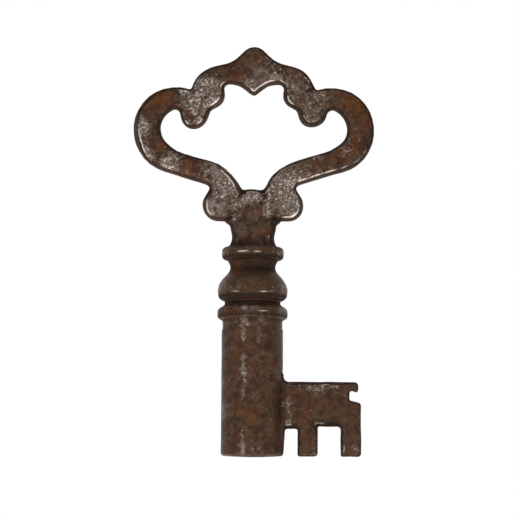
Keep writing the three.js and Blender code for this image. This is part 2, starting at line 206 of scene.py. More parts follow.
def remeshed(name, copies):
    """One even skin of small quads round loose copies, which are used up."""
    with bpy.context.temp_override(active_object=copies[0], selected_editable_objects=copies):
        bpy.ops.object.join()
    body = copies[0]
    skin = body.modifiers.new("skin", "REMESH")
    skin.mode = "VOXEL"
    skin.voxel_size = VOXEL
    mesh = evaluated(body)
    mesh.name = name
    drop(body)
    return mesh


# Where the wear and rust lie, and the painted shade and painted highlights, in millimetres. Each patch is [x,
# z, reach, strength], as the camera sees the front.

# Bare steel; the bow's last four rows paint highlight blotches beside its edges
BARE_AND_HIGHLIGHT_PATCHES = {
    "bow": [
        [-8.4, 51.2, 2.1, 1.15], [-7.6, 48.2, 1.9, 1.2], [-5.2, 50.9, 1.5, 1.1], [-0.3, 51.2, 1.0, 0.9],
        [2.2, 52.8, 2.4, 0.65], [6.2, 50.6, 2.2, 0.8], [8.2, 47.2, 1.8, 0.7], [9.6, 49.6, 1.6, 0.7],
        [-15.6, 45.0, 1.6, 1.0], [-14.2, 41.0, 1.2, 0.7], [-11.0, 40.3, 1.9, 1.1], [-5.4, 39.3, 1.9, 0.62],
        [-3.2, 37.0, 2.4, 1.1], [3.9, 37.4, 2.6, 1.2], [6.6, 38.8, 1.9, 0.4], [5.6, 34.6, 2.0, 1.2],
        [-5.2, 34.2, 1.8, 0.5], [8.8, 40.4, 2.0, 0.4], [13.0, 42.0, 1.3, 0.6], [14.0, 43.6, 1.2, 0.4],
        [-14.6, 42.6, 1.2, 0.6], [-5.0, 48.5, 0.6, 0.8], [-5.8, 48.0, 0.5, 0.7], [-7.0, 45.9, 0.6, 0.8],
        [-14.8, 45.8, 1.0, 0.6],
    ],
    "stem": [
        [-1.1, 35.3, 0.6, 1.0], [-0.1, 35.6, 0.85, 1.1], [1.0, 35.5, 0.6, 1.0], [-2.0, 34.4, 0.9, 0.7],
        [2.2, 34.1, 1.0, 0.7], [2.2, 32.8, 0.8, 0.6], [-2.3, 32.6, 0.7, 0.6], [0.0, 33.0, 2.0, 0.25],
        [-2.1, 29.9, 0.6, 0.9], [2.3, 29.9, 0.6, 0.7],
    ],
    "upper_collar": [[-3.8, 27.9, 0.9, 0.5], [3.8, 27.9, 0.9, 0.5]],
    "baluster": [[-4.3, 23.2, 1.4, 0.4], [4.4, 22.8, 1.4, 0.5], [-1.8, 22.9, 1.2, 0.2]],
    "lower_collar": [
        [4.4, 19.9, 1.0, 0.6], [-1.1, 18.2, 1.0, 0.8], [1.2, 18.6, 0.8, 0.9], [-3.6, 18.3, 0.8, 0.4],
        [-1.0, 18.9, 0.6, 0.6], [-2.6, 18.6, 0.7, 0.3],
    ],
    "barrel": [
        [-4.0, 5.6, 1.6, 0.4], [-4.0, 10.8, 1.2, 0.3], [2.2, 11.6, 1.6, 0.2], [-3.6, 2.2, 1.2, 0.3],
        [0.1, 0.9, 0.45, 0.8], [1.0, 0.8, 0.45, 0.9],
    ],
    "bit": [
        [5.0, 4.3, 0.6, 1.0], [8.8, 4.6, 0.5, 0.9], [10.0, 4.7, 0.5, 0.5], [5.0, 6.4, 1.3, 0.5],
        [6.6, 9.5, 0.5, 0.7], [7.7, 9.4, 0.5, 0.8], [8.7, 9.4, 0.6, 0.75], [9.8, 9.4, 0.6, 1.0],
        [10.9, 9.4, 0.5, 1.2], [11.8, 9.3, 0.5, 1.0], [9.0, 8.6, 0.7, 0.25], [14.3, 0.9, 0.7, 0.7],
        [8.2, 0.6, 0.6, 0.5], [13.0, 8.3, 0.6, 0.4], [5.4, 9.4, 0.9, 0.5],
    ],
}
# On the barrel these paint the lamp's highlight streak down the left of its middle
BARE_AND_HIGHLIGHT_STREAKS = {  # patches that are three times as tall as they are wide
    "barrel": [
        [-1.2, 16.9, 0.4, 1.0], [0.9, 17.2, 0.5, 0.7], [-1.2, 12.8, 0.4, 0.8], [-1.15, 11.0, 0.5, 1.1],
        [-1.2, 8.3, 0.3, 0.9], [-1.2, 3.1, 0.3, 0.7], [-1.3, 1.1, 0.4, 1.1],
    ],
    "bit": [[4.95, 7.9, 0.5, 0.4], [5.25, 5.9, 0.5, 0.35]],
}
RUST_PATCHES = {
    "bow": [
        [-2.6, 53.2, 2.4, 0.4], [-1.6, 51.6, 1.2, 0.5], [-11.6, 49.6, 2.2, 0.8], [-14.2, 48.0, 1.8, 0.6],
        [-12.8, 42.6, 1.4, 0.7], [-8.4, 39.8, 1.8, 0.7], [14.2, 48.4, 1.6, 1.2], [16.0, 45.8, 1.4, 0.9],
        [14.2, 43.0, 1.3, 0.9], [12.6, 41.2, 1.2, 0.8], [9.0, 40.2, 1.2, 0.6], [7.4, 52.2, 1.6, 0.4],
        [1.4, 54.8, 1.4, 0.4], [11.5, 49.9, 1.6, 0.1],
    ],
    "stem": [[2.6, 31.0, 0.8, 0.9], [1.8, 29.8, 0.8, 0.4]],
    "upper_collar": [[-2.2, 27.4, 0.8, 0.3]],
    "baluster": [[-1.9, 26.3, 0.6, 0.9], [-1.8, 25.5, 0.6, 1.0], [-2.2, 24.9, 0.5, 0.7]],
    "lower_collar": [[-3.5, 19.9, 1.1, 0.6], [2.5, 19.05, 0.4, 0.9]],
    "barrel": [
        [-2.8, 13.2, 0.9, 0.6], [0.4, 14.6, 0.9, 0.4], [-1.9, 7.0, 1.4, 0.5], [0.2, 5.2, 0.8, 0.8],
        [-1.4, 5.6, 1.0, 0.5], [3.0, 12.4, 1.2, 0.4], [2.8, 7.6, 1.3, 0.5], [3.6, 2.2, 1.4, 0.6],
    ],
    "bit": [
        [6.8, 8.3, 0.9, 0.7], [10.8, 6.5, 0.7, 0.8], [7.6, 5.8, 1.3, 0.5], [7.8, 2.4, 1.2, 0.5],
        [13.4, 4.6, 1.0, 0.5], [9.0, 7.6, 1.6, 0.4],
    ],
}
EDGE_GLINTS = {  # painted highlights along the plates' edges, partly worn bright there, and painted highlight dashes round the turned pieces
    "bow": [
        [-15.6, 44.4, 0.8, 0.8], [-15.4, 43.1, 0.9, 1.0], [-14.8, 41.9, 0.8, 0.9], [-13.8, 40.8, 0.7, 0.6],
        [-4.1, 39.0, 0.6, 0.8], [-3.1, 38.3, 0.8, 1.0], [-2.4, 37.3, 0.7, 1.0], [-1.9, 36.1, 0.6, 0.9],
        [3.4, 38.7, 0.6, 0.3], [2.5, 37.6, 0.5, 0.4], [2.1, 36.5, 0.5, 0.9], [2.0, 35.8, 0.5, 1.0],
        [15.3, 42.0, 1.0, 0.5], [14.1, 40.9, 0.9, 0.9], [12.6, 40.0, 0.9, 0.8], [10.8, 39.3, 1.0, 1.0],
        [8.7, 38.7, 1.1, 1.0], [6.9, 38.0, 0.9, 0.9], [5.6, 37.3, 0.6, 0.7],
        [-4.5, 49.0, 0.6, 0.8], [-4.8, 48.3, 0.6, 1.0], [-5.4, 47.9, 0.6, 0.9], [-6.5, 46.1, 0.5, 0.7],
        [-7.2, 45.5, 0.5, 0.9], [-9.0, 45.9, 0.5, 0.9], [-8.5, 45.3, 0.5, 0.6],
        [5.0, 49.2, 0.6, 0.9], [5.4, 48.3, 0.6, 1.0], [7.1, 46.6, 0.5, 0.8], [7.6, 45.7, 0.5, 0.7],
        [1.4, 50.8, 0.6, 0.9], [2.1, 51.2, 0.6, 1.0], [2.8, 51.5, 0.7, 0.9], [4.2, 51.4, 0.5, 0.8],
        [4.7, 50.8, 0.5, 0.6], [-4.2, 51.0, 0.5, 0.9], [-3.5, 51.2, 0.5, 0.7], [-4.9, 50.3, 0.5, 0.6],
        [-0.1, 50.3, 0.5, 0.9], [0.6, 50.4, 0.5, 0.8],
        [-6.4, 34.7, 0.6, 1.0], [-6.3, 34.0, 0.6, 1.0], [-5.9, 33.3, 0.6, 0.6],
        [4.7, 32.8, 0.7, 0.8], [5.6, 33.1, 0.7, 1.0], [6.3, 33.6, 0.5, 0.8],
    ],
    "stem": [[-2.4, 32.8, 0.6, 0.9], [-2.1, 32.2, 0.5, 0.7]],
    "upper_collar": [[-1.6, 28.1, 0.7, 0.9], [-0.3, 28.15, 1.3, 0.6], [1.0, 28.05, 0.6, 0.9]],
    "baluster": [
        [-2.2, 22.6, 1.2, 0.45], [-0.4, 22.7, 1.2, 0.25], [1.6, 22.55, 0.7, 0.9], [2.8, 22.6, 1.0, 0.5],
    ],
    "lower_collar": [[-1.0, 20.3, 0.6, 0.6], [1.4, 19.9, 0.8, 0.9], [2.1, 19.9, 0.7, 0.4]],
    "barrel": [[-1.3, 17.4, 0.5, 0.5], [-1.3, 0.8, 0.5, 0.6]],
    "bit": [
        [5.1, 9.4, 0.5, 0.7], [8.8, 9.4, 0.5, 0.6], [10.4, 9.4, 0.7, 0.7], [11.7, 9.3, 0.5, 0.7],
        [13.2, 9.3, 0.5, 0.5], [4.9, 4.5, 0.6, 1.2], [5.5, 4.5, 0.4, 0.7], [8.6, 4.7, 0.6, 1.2],
        [9.7, 4.7, 0.6, 1.0], [12.8, 2.4, 0.5, 0.4], [12.8, 1.4, 0.5, 0.5], [12.9, 0.6, 0.5, 0.7],
        [14.4, 0.5, 0.4, 0.7], [8.5, 0.5, 0.4, 0.6],
    ],
}
# Smooth, evenly worn steel on the bow; on the turned pieces and down the barrel's sides these rows paint
# sheen where the light falls
POLISH_AND_SHEEN_PATCHES = {
    "bow": [
        [-5.4, 34.6, 0.9, 1.0], [-5.0, 33.8, 0.9, 0.8], [-4.2, 34.3, 0.9, 0.7], [5.6, 34.7, 1.0, 0.3],
        [6.2, 34.2, 0.8, 0.3], [5.0, 33.6, 0.8, 0.6], [-5.9, 40.0, 0.8, 0.7], [-4.7, 39.3, 0.8, 0.9],
        [-3.7, 38.4, 0.7, 0.7], [-15.5, 44.6, 0.7, 0.4], [0.6, 52.9, 1.3, 0.4], [1.6, 51.8, 1.2, 0.4],
        [3.4, 37.6, 1.2, 0.3], [-4.6, 48.9, 0.8, 0.5],
    ],
    "stem": [[-1.8, 31.6, 0.8, 0.3], [0.0, 32.4, 1.8, 0.2]],
    "baluster": [[-4.2, 23.3, 0.8, 0.7], [4.5, 23.0, 0.8, 0.8]],
    "lower_collar": [[4.2, 19.6, 0.8, 0.5], [-1.1, 20.4, 0.7, 0.8], [0.2, 20.4, 0.8, 0.5]],
    "barrel": [[-4.4, 10.0, 0.8, 0.5], [-4.35, 6.2, 1.1, 0.7], [-4.4, 14.0, 0.8, 0.3], [4.2, 3.0, 0.8, 0.4]],
}
# Painted shade in corners, in recesses and at the joints between parts
PAINTED_SHADE_PATCHES = {
    "bow": [
        [-3.2, 32.4, 0.4, 0.6], [3.3, 32.5, 0.45, 0.6], [-8.2, 50.2, 0.5, 0.8], [-5.8, 47.7, 0.4, 0.7],
        [-9.7, 47.6, 0.35, 0.5], [5.9, 48.0, 0.4, 0.7], [8.6, 50.4, 0.5, 0.7], [-4.6, 35.9, 0.35, 0.4],
        [-1.3, 36.5, 0.45, 1.0], [-1.7, 35.8, 0.3, 0.8], [1.4, 36.6, 0.4, 1.0], [1.9, 36.0, 0.3, 0.8],
    ],
    "stem": [[-2.7, 31.6, 0.3, 0.5], [2.8, 31.7, 0.3, 0.5]],
    "barrel": [
        [4.0, 9.8, 0.5, 0.5], [3.9, 8.6, 0.6, 0.7], [3.9, 7.4, 0.6, 0.8], [3.9, 6.2, 0.6, 0.8],
        [3.9, 5.0, 0.6, 0.7],
    ],
    "bit": [
        [4.4, 8.8, 0.4, 0.5], [4.4, 7.6, 0.4, 0.6], [4.4, 6.2, 0.4, 0.6], [4.4, 5.0, 0.4, 0.5],
        [4.7, 3.85, 0.4, 0.7], [5.4, 3.85, 0.4, 0.7], [6.1, 3.85, 0.4, 0.7], [8.5, 4.1, 0.4, 0.7],
        [9.3, 4.1, 0.45, 0.7], [10.2, 4.1, 0.45, 0.7], [11.1, 4.1, 0.45, 0.7], [12.0, 4.1, 0.45, 0.7],
    ],
}
DARK_BANDS = {  # [z, half height, strength]: painted shade in the hollows and under the rims, and a thin darkening all over the bit
    "stem": [[28.8, 0.4, 0.4]],
    "upper_collar": [[27.15, 0.25, 0.95], [26.8, 0.2, 0.4], [28.5, 0.3, 0.4]],
    "baluster": [
        [26.55, 0.25, 0.6], [26.1, 0.4, 0.5], [25.35, 0.45, 0.75], [21.72, 0.27, 0.85], [21.2, 0.3, 0.7],
    ],
    "lower_collar": [[20.98, 0.18, 0.75], [20.65, 0.3, 0.1], [19.3, 0.3, 0.35], [18.98, 0.2, 0.7]],
    "bit": [[6.0, 8.0, 0.12]],
}
PLAIN_EDGE_SHADES = {"bow": 0.18, "bit": 0.1}  # how wide the painted shade along a plate's edges is
WIDER_EDGE_SHADES = [  # [x, z, reach, millimetres more]: where that painted edge shade is wider, or narrower if below 0
    [-16.3, 46.0, 2.4, 0.35], [-15.4, 43.0, 1.8, 0.25], [-14.4, 49.4, 1.6, 0.2],
    [-6.8, 34.4, 1.2, 0.2], [6.8, 34.3, 1.2, 0.15],
    [6.7, 46.8, 1.0, 0.3], [7.1, 45.6, 0.8, 0.2], [4.6, 49.7, 1.0, 0.2], [-6.1, 46.6, 0.9, 0.2],
    [-4.1, 49.2, 1.0, 0.2], [-3.4, 39.2, 1.4, 0.25], [-1.8, 37.6, 1.0, 0.2], [2.8, 38.3, 1.0, 0.1],
    [-1.6, 36.6, 0.7, 0.6], [1.7, 36.6, 0.6, 0.4],
    [5.5, 10.0, 1.6, 0.3], [8.5, 10.0, 1.8, 0.25], [12.0, 10.0, 1.8, 0.3],
    [5.1, 4.2, 1.0, 0.4], [8.8, 4.4, 1.0, 0.4], [11.2, 4.4, 1.1, 0.4],
    [6.7, 3.0, 0.8, 0.2], [6.7, 1.4, 0.9, 0.2], [12.7, 3.2, 0.9, 0.2], [12.7, 1.2, 0.9, 0.2],
    [16.6, 46.0, 2.4, -0.2], [15.6, 49.5, 1.8, -0.15],
]
SHAPE_NUDGES = [  # [x, z, reach, shift x, shift z]: the two halves of the real bow differ a little
    [0.0, 36.8, 5.4, -0.26, 0.0],
    [1.8, 37.0, 1.0, 0.3, 0.0],
    [8.2, 46.0, 2.2, -0.2, 0.15],
    [-8.2, 46.0, 2.2, -0.24, -0.22],
    [9.0, 40.5, 3.4, 0.0, 0.12],
    [-9.0, 40.5, 3.4, 0.0, -0.12],
    [0.0, 50.8, 3.2, 0.0, -0.25],
    [8.3, 51.7, 1.8, -0.1, 0.0],
    [-8.3, 51.7, 1.8, -0.14, 0.0],
]

# How the wear, the painted shade and the painted highlights are worked in. Sizes, depths and reaches are in
# millimetres.

PATCH_LIMIT = 1.2  # the most that patches lying over each other add up to
STREAK_FLATNESS = 1 / 3
DASH_FLATNESS = 7.0
NUDGE_FADE = 1.2  # over this height round the bow's base the shifts set in

FIRST_EASING = 3  # rounds that take the grid's steps out of a new skin
SECOND_EASING = 2  # rounds that even out what counts as an edge
EDGE_REACH = 0.45  # how far an edge or a crevice is felt
EDGE_GAIN = 4  # how soon a place that stands out counts as a full edge
HAMMER_SIZE, HAMMER_SEED = 2.6, 1
HAMMER_ON_PLATES, HAMMER_ON_TURNED = 0.05, 0.03
PIT_SIZE, PIT_SEED, PIT_DEPTH = 0.8, 2, 0.012
CHIP_SIZE, CHIP_SEED, CHIP_DEPTH = 0.7, 3, 0.05
CHIP_FROM = 0.35  # how far the chips' noise rises before it bites
CHIP_LEAN = 2.2  # how much sooner it bites on an edge

WALL_TURN = 0.5  # a place of a plate that faces the front or back less than this is on its wall
WALL_BLEND = 0.2
WALL_DROP = 0.3  # how much further out than the painted edge shade the walls count
EDGE_SHADE_BELOW = 0.2  # the painted edge shade is narrower on edges that face down, where the wall shows too
WOBBLE_SIZE, WOBBLE_SEED, WOBBLE = 1.4, 4, 0.08  # how unevenly wide the painted edge shade is
LINE_REACH = 0.06  # how far in from the painted edge shade the painted highlight line along it lies
RIM_REACH = 0.5  # distances from the painted edge shade's inner side are kept up to this
SUNK_FLOOR = 0.75  # what faces the front or back from this far below the bow's faces gets painted shade
SUNK_BLEND = 0.1
SUNK_FACING = 0.6
RUST_HIDES = 0.5  # how much of the painted shade full rust covers


def rows_of(table, sources):
    """The rows of a table for the pieces that a skin is made of."""
    return [row for source in sources for row in table.get(source, [])]


def patched(places, patches, flatness=1.0):
    """The strength of soft patches at each place, with their places as the camera sees them."""
    seen_x, seen_z = seen(places)
    total = np.zeros(len(places))
    for x, z, reach, strength in patches:
        away = ((seen_x - x) ** 2 + (flatness * (seen_z - z)) ** 2) / reach**2
        total += strength * np.exp(-away)
    return np.clip(total, 0, PATCH_LIMIT)


def nudged(places):
    """The bow's places with its two halves made as unlike as the real ones."""
    moved = places.copy()
    above = np.clip((places[:, 2] - bow_base + NUDGE_FADE / 2) / NUDGE_FADE, 0, 1)
    for x, z, reach, shift_x, shift_z in SHAPE_NUDGES:
        away = ((places[:, 0] - x) ** 2 + (places[:, 2] - z) ** 2) / reach**2
        pull = np.exp(-away) * above
        moved[:, 0] += shift_x * pull
        moved[:, 2] += shift_z * pull
    return moved


def rim_distances(places, out, shade_width):
    """How far each place of a plate lies in from the painted shade along its edge, below 0 within that shade.
    """
    facing = np.abs(out[:, 1])
    steep = facing < WALL_TURN
    tree = tree_of([(x, 0, z) for x, _, z in places[steep]])
    found = [tree.find((x, 0, z)) for x, _, z in places]
    away = np.array([distance for _, _, distance in found])
    downwards = np.clip(-out[steep][[i for _, i, _ in found], 2], 0, 1)
    width = shade_width + WOBBLE * cloud(places, WOBBLE_SIZE, WOBBLE_SEED) + patched(places, WIDER_EDGE_SHADES)
    width = np.maximum(width - EDGE_SHADE_BELOW * downwards, 0)
    on_wall = np.clip((WALL_TURN - facing) / WALL_BLEND, 0, 1)
    return np.clip(away - width - WALL_DROP * on_wall, -RIM_REACH, RIM_REACH)


def painted_shade_at(places, out, painted_shade, sources, plate):
    """How dark the painted shade makes each place: in crevices, in the bow's depth, in bands and in patches.
    """
    if plate:
        # The bow's recesses get painted shade
        sunk = np.clip((bow_face - SUNK_FLOOR - np.abs(places[:, 1])) / SUNK_BLEND, 0, 1)
        painted_shade = np.maximum(painted_shade, sunk * (np.abs(out[:, 1]) > SUNK_FACING) * (places[:, 2] > bow_base))
    for z, half, strength in rows_of(DARK_BANDS, sources):
        painted_shade = painted_shade + strength * np.exp(-(((places[:, 2] - z) / half) ** 2))
    return np.clip(painted_shade + patched(places, rows_of(PAINTED_SHADE_PATCHES, sources)), 0, 1)


def worn(mesh, sources, plate):
    """Works a clean skin over as forging, rubbing and rust did, and keeps what the finish reads, the painted
    shade and highlights among it.
    """
    places, links = arrays(mesh)
    places = eased(places, links, FIRST_EASING)
    put(mesh, places)
    out = normals(mesh)
    blurred = eased(places, links, rounds_for(EDGE_REACH))
    stands_out = np.einsum("ij,ij->i", places - blurred, out) / EDGE_REACH
    stands_out = eased(stands_out[:, None], links, SECOND_EASING)[:, 0]
    edge = np.clip(EDGE_GAIN * stands_out, 0, 1)
    if plate:
        places = nudged(places)

    hammered = (HAMMER_ON_PLATES if plate else HAMMER_ON_TURNED) * cloud(places, HAMMER_SIZE, HAMMER_SEED)
    hammered += PIT_DEPTH * cloud(places, PIT_SIZE, PIT_SEED)
    chipped = cloud(places, CHIP_SIZE, CHIP_SEED) + CHIP_LEAN * np.clip(stands_out, 0, 1) - CHIP_FROM
    put(mesh, places + (hammered - CHIP_DEPTH * np.clip(chipped, 0, 1) * edge)[:, None] * out)

    def patch(table, flatness=1.0):
        return patched(places, rows_of(table, sources), flatness)

    rust = patch(RUST_PATCHES)
    # Wear, with painted highlight streaks and blotches among it
    keep(mesh, "bare_and_highlight", patch(BARE_AND_HIGHLIGHT_PATCHES) + patch(BARE_AND_HIGHLIGHT_STREAKS, STREAK_FLATNESS))
    keep(mesh, "rust", rust)
    keep(mesh, "polish_and_sheen", np.clip(patch(POLISH_AND_SHEEN_PATCHES), 0, 1))
    keep(mesh, "glint", patch(EDGE_GLINTS, 1.0 if plate else DASH_FLATNESS))
    if plate:
        keep(mesh, "rim", rim_distances(places, out, PLAIN_EDGE_SHADES[sources[0]]))
    else:
        # Turned pieces have no edge shade: their painted highlight dashes show wherever their rows say
        keep(mesh, "rim", np.full(len(out), LINE_REACH))
    keep(mesh, "edge", edge)
    painted_shade = painted_shade_at(places, out, np.clip(-EDGE_GAIN * stands_out, 0, 1), sources, plate)
    keep(mesh, "painted_shade", painted_shade * (1 - RUST_HIDES * np.clip(rust, 0, 1)))
    return mesh


# Finish: iron with a brown patina, rubbed bare in grains, with orange rust, painted shade and painted
# highlights

def colour(red, green, blue):
    """A picture's colour, 0 to 255, as the linear one that shaders take."""
    def linear(c):
        c /= 255
        return c / 12.92 if c <= 0.04045 else ((c + 0.055) / 1.055) ** 2.4
    return (linear(red), linear(green), linear(blue), 1)


class Tree:
    """A material's nodes, made and linked in one call each."""

    def __init__(self, material):
        material.use_nodes = True
        self.tree = material.node_tree
        self.tree.nodes.clear()

    def add(self, kind, inputs=None, **settings):
        made = self.tree.nodes.new(kind)
        for name, value in settings.items():
            setattr(made, name, value)
        for name, value in (inputs or {}).items():
            self.set(made.inputs[name], value)
        return made

    def set(self, socket, value):
        if isinstance(value, bpy.types.NodeSocket):
            self.tree.links.new(value, socket)
        else:
            socket.default_value = value

    def math(self, operation, *values, clamp=False):
        made = self.add("ShaderNodeMath", operation=operation, use_clamp=clamp)
        for socket, value in zip(made.inputs, values):
            self.set(socket, value)
        return made.outputs[0]

    def scaled(self, value, factor, added=0.0):
        """A value times a factor, plus what is added."""
        return self.math("MULTIPLY_ADD", value, factor, added)

    def mix(self, share, first, second):
        made = self.add("ShaderNodeMix", data_type="RGBA")
        for index, value in ((0, share), (6, first), (7, second)):
            self.set(made.inputs[index], value)
        return made.outputs[2]

    def between(self, value, low, high, to_low=0.0, to_high=1.0):
        """Goes smoothly from to_low to to_high while the value goes from low to high."""
        made = self.add("ShaderNodeMapRange", interpolation_type="SMOOTHSTEP")
        for index, number in enumerate((value, low, high, to_low, to_high)):
            self.set(made.inputs[index], number)
        return made.outputs[0]

    def noise(self, places, size, detail, rough, seed):
        """Noise with features of the given size in millimetres."""
        inputs = {"Vector": places, "Scale": 1 / size, "Detail": detail, "Roughness": rough, "W": seed}
        return self.add("ShaderNodeTexNoise", inputs, noise_dimensions="4D").outputs["Fac"]

    def attribute(self, name):
        return self.add("ShaderNodeAttribute", attribute_name=name).outputs["Fac"]


DARK_PATINA = colour(50, 35, 27)
BROWN_PATINA = colour(92, 67, 50)
# Painted shade: the walls' shaded copies of the patina and steel, and the dark crease along a plate's edge
SHADED_WALL_PATINA = colour(70, 53, 44)
SHADED_BARE_WALL = colour(88, 77, 70)
CREASE_SHADE = colour(36, 25, 19)
RED_RUST = colour(82, 48, 30)
ORANGE_RUST = colour(106, 66, 34)
WORN_STEEL = colour(120, 106, 96)
POLISHED_AND_SHEEN_STEEL = colour(132, 121, 113)
BRIGHT_STEEL = colour(208, 196, 186)
PAINTED_SHADE_COLOUR = colour(26, 15, 10)

WEAR_LAYERS = ("edge", "painted_shade", "bare_and_highlight", "rust", "polish_and_sheen", "glint", "rim")  # what worn() keeps
NOISES = (  # size in millimetres, detail, roughness, seed
    (2.6, 3.0, 0.6, 0.0),  # broad
    (1.0, 4.0, 0.6, 3.0),  # mottle
    (0.3, 2.0, 0.6, 5.0),  # grain
    (0.24, 1.0, 0.5, 9.0),  # specks
    (0.8, 2.0, 0.6, 12.0),  # clusters
)
COVER = 0.9  # how much of the patina full rust, the painted edge shade or the painted shade in hollows hides
PLAIN_METAL, BARE_METAL = 0.2, 0.35  # how metallic the patina is, and how much more bare steel is
BUMP_DEPTH = 0.03  # in millimetres
SPECULAR = 0.08


def iron(name, smoothness):
    """Worn iron. Smoothness, up to 1, takes grain and bumps away."""
    material = bpy.data.materials.new(name)
    t = Tree(material)
    here = t.add("ShaderNodeTexCoord").outputs["Object"]
    here = t.add("ShaderNodeVectorMath", {0: here, "Scale": 1 / MM}, operation="SCALE").outputs[0]
    edge, painted_shade, bare_and_highlight, rust, polish_and_sheen, glint, rim = (t.attribute(layer) for layer in WEAR_LAYERS)
    broad, mottle, grain, specks, clusters = (t.noise(here, *settings) for settings in NOISES)

    # The patina is mottled dark and brown, with a red tinge in broad clouds, and rusty where the tables say
    browned = t.between(mottle, 0.36, 0.64, 0.5 * smoothness, 1 - 0.3 * smoothness)
    patina = t.mix(browned, DARK_PATINA, BROWN_PATINA)
    patina = t.mix(t.between(broad, 0.45, 0.7, 0.0, 0.45), patina, RED_RUST)
    rusty = t.between(t.math("ADD", rust, t.scaled(mottle, 1.2, -0.75)), 0.0, 0.8)
    rust_colour = t.mix(t.between(t.scaled(rust, 0.25, mottle), 0.55, 0.9), RED_RUST, ORANGE_RUST)
    skin = t.mix(t.scaled(rusty, COVER), patina, rust_colour)

    # Painted shade along a plate's edge: a dark band, and the wall beyond it lighter again in shaded copies
    # of the patina and steel. Both count as painted edge shade here.
    painted_edge_shade = t.between(t.scaled(mottle, 0.2, rim), 0.04, 0.16, 1.0, 0.0)
    shaded_wall_colour = t.mix(t.math("MULTIPLY", bare_and_highlight, 0.7, clamp=True), t.mix(0.5, SHADED_WALL_PATINA, patina), SHADED_BARE_WALL)
    shaded_wall_colour = t.mix(t.between(rim, -0.3, -0.08), shaded_wall_colour, CREASE_SHADE)
    skin = t.mix(t.scaled(painted_edge_shade, COVER), skin, shaded_wall_colour)

    # Bare steel comes through in clusters of grains on ridges and where the tables say, some of it painted
    # highlight, and evenly where polished or painted with sheen
    ridge = t.math("MULTIPLY", edge, t.scaled(broad, 3.0, -1.1))
    rubbed = t.scaled(painted_edge_shade, -1.5, t.scaled(ridge, 0.8, bare_and_highlight))
    patchy = t.between(t.scaled(clusters, 2.4, rubbed), 1.3, 2.45)
    film = t.between(t.scaled(patchy, 0.38, grain), 0.55, 0.86, 0.0, 0.85)
    # An even film of polished steel, and painted sheen
    smooth = t.math("MULTIPLY", polish_and_sheen, t.between(clusters, 0.33, 0.53))
    film = t.math("MAXIMUM", film, smooth)
    skin = t.mix(film, skin, t.mix(smooth, WORN_STEEL, POLISHED_AND_SHEEN_STEEL))
    pitted = t.between(t.scaled(patchy, -0.06, specks), 0.32, 0.42, 0.5, 0.0)
    skin = t.mix(pitted, skin, DARK_PATINA)

    # Bright specks lie on it, and a broken painted highlight, partly worn bright steel, runs along the inner
    # side of the painted edge shade
    speckled = t.between(t.scaled(patchy, 0.26, specks), 0.77, 0.91)
    in_grains = t.between(grain, 0.3, 0.65, 0.3 * (1 - smoothness), 1 - smoothness)
    speckled = t.math("MULTIPLY", speckled, in_grains)
    speckled = t.math("MULTIPLY", speckled, t.between(polish_and_sheen, 0.2, 0.9, 1.0, 0.1))
    inner = t.between(t.scaled(glint, -0.12, rim), 0.02, 0.16, 1.0, 0.0)
    line = t.math("MULTIPLY", t.between(rim, -0.03, 0.05), inner)
    broken = t.scaled(glint, 1.2, t.math("ADD", clusters, grain))
    line = t.math("MULTIPLY", line, t.between(broken, 1.35, 2.2))
    skin = t.mix(t.math("MAXIMUM", speckled, line), skin, BRIGHT_STEEL)
    # Painted shade in crevices, recesses, under the rims and in the listed patches
    skin = t.mix(t.scaled(painted_shade, COVER), skin, PAINTED_SHADE_COLOUR)

    # Bare steel is glossier and more metallic, and rust and the painted shade in hollows and along edges are
    # matt
    hidden = t.math("MAXIMUM", painted_edge_shade, painted_shade)
    matt = t.scaled(film, -0.12, 0.5 - 0.1 * smoothness)
    matt = t.scaled(hidden, 0.35, t.scaled(rusty, 0.15, matt))
    metal = t.scaled(film, BARE_METAL, PLAIN_METAL)
    metal = t.math("MULTIPLY", metal, t.math("SUBTRACT", 1.0, hidden, clamp=True))
    height = t.scaled(mottle, 0.8, grain)
    bumps = {"Height": height, "Distance": BUMP_DEPTH * MM, "Strength": 0.9 - 0.6 * smoothness}
    shader = t.add("ShaderNodeBsdfPrincipled", {
        "Base Color": skin,
        "Metallic": metal,
        "Roughness": matt,
        "Specular IOR Level": SPECULAR,
        "Normal": t.add("ShaderNodeBump", bumps).outputs[0],
    })
    t.add("ShaderNodeOutputMaterial", {"Surface": shader.outputs[0]})
    return material


# Pieces

SMOOTHNESS = {
    "bow": 0.0,
    "stem": 0.0,
    "upper_collar": 0.8,
    "baluster": 0.8,
    "lower_collar": 0.7,
    "barrel": 0.35,
    "bit": 0.4,
}
SKIN_GROWTH = 0.02  # how much fuller than its solid a skin of its own starts out
STEM_GROWTH = 0.12  # how much fuller the stem starts out, which closes the gap round the tongue
TOP_ZONE = 0.5  # what lies this near to the top of a piece is raised with it

TONGUE_MARGIN = 1.03  # the cut's outline, as a share of the tongue's
BASE_MARGIN = 0.01  # corners this little below the bow's base still belong to the tongue
SHOULDER = 0.2  # corners less than this above the cut's base are left out
CUT_BELOW = 0.05  # how far under the bow the cut's base lies
CUTTER_HALF_WIDTH = 6.0
CUTTER_DEPTHS = (-4.0, 4.0)  # where its front and back lie

PAD_CENTRE = (0.15, bow_base + 1.95)
PAD_RADIUS = 2.2
PAD_EDGE = 0.6
PAD_HALF_DEPTH = bow_face + 0.05
PAD_SIDES = 64
PAD_EDGE_STEPS = 8


def finish_piece(name, mesh, shading=None):
    """Puts a worked mesh in place of the CAD node of its name."""
    mesh.transform(Matrix.Scale(MM, 4))
    mesh.materials.clear()
    mesh.materials.append(materials[name])
    mesh.shade_smooth()
    if shading is not None:
        mesh.normals_split_custom_set_from_vertices(shading)
    piece = linked("worn_" + name, mesh)
    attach(piece, "root")
    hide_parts(name)


